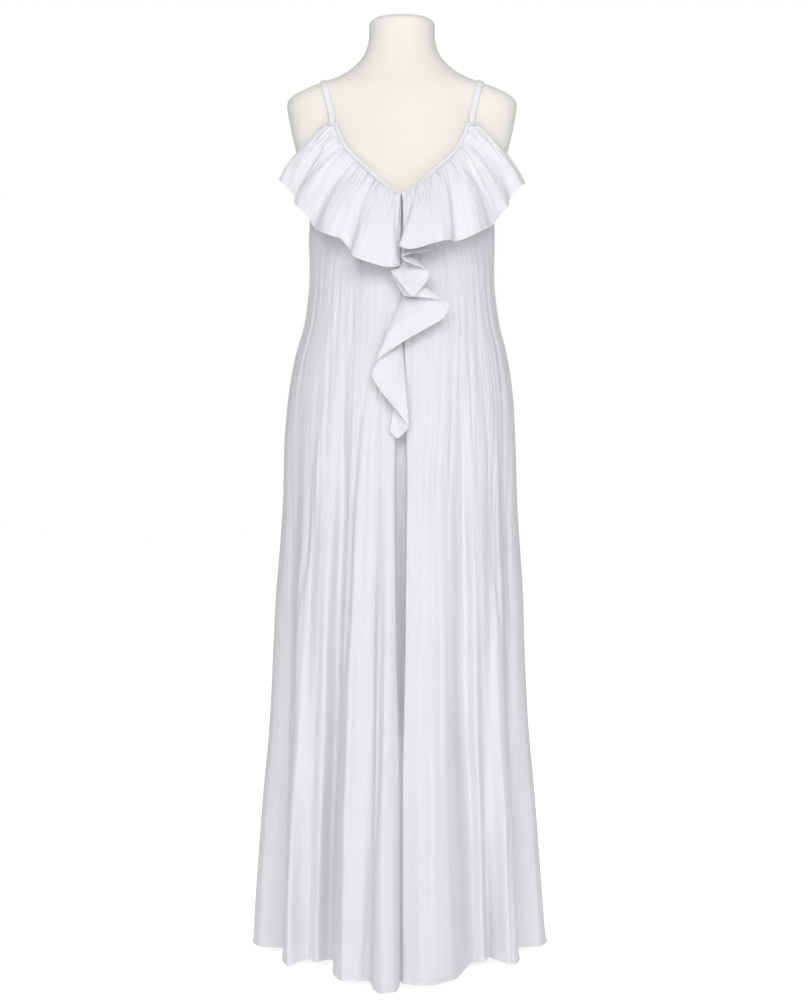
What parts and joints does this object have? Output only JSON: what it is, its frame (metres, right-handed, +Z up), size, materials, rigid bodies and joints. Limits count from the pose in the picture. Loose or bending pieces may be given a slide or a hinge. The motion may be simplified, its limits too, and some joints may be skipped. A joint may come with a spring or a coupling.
{
  "type": "maxi dress on a limbless dress form",
  "caption": "Strappy V-neck maxi dress with a gathered neck flounce and a waterfall cascade, standing on a limbless dress form.",
  "frame": {"origin": "centre of the underside of the dress form's base plate", "axes": "+Z up, the wearer's front faces -Y, +X towards the right of someone who looks at the front"},
  "size_m": [0.486, 0.542, 1.541],
  "materials": {
    "cloth": "fine crinkled cotton, matt, cool white",
    "form_skin": "cream cover of the dress form, matt",
    "steel": "brushed"
  },
  "bodies": {
    "root": {"dress_front_left": "cloth", "dress_front_right": "cloth", "dress_back": "cloth", "neck_binding_left": "cloth", "neck_binding_right": "cloth", "strap_left": "cloth", "strap_right": "cloth", "flounce_left": "cloth", "flounce_right": "cloth", "cascade": "cloth", "form_torso": "form_skin", "form_pole": "steel", "form_base": "steel"}
  },
  "joints": []
}
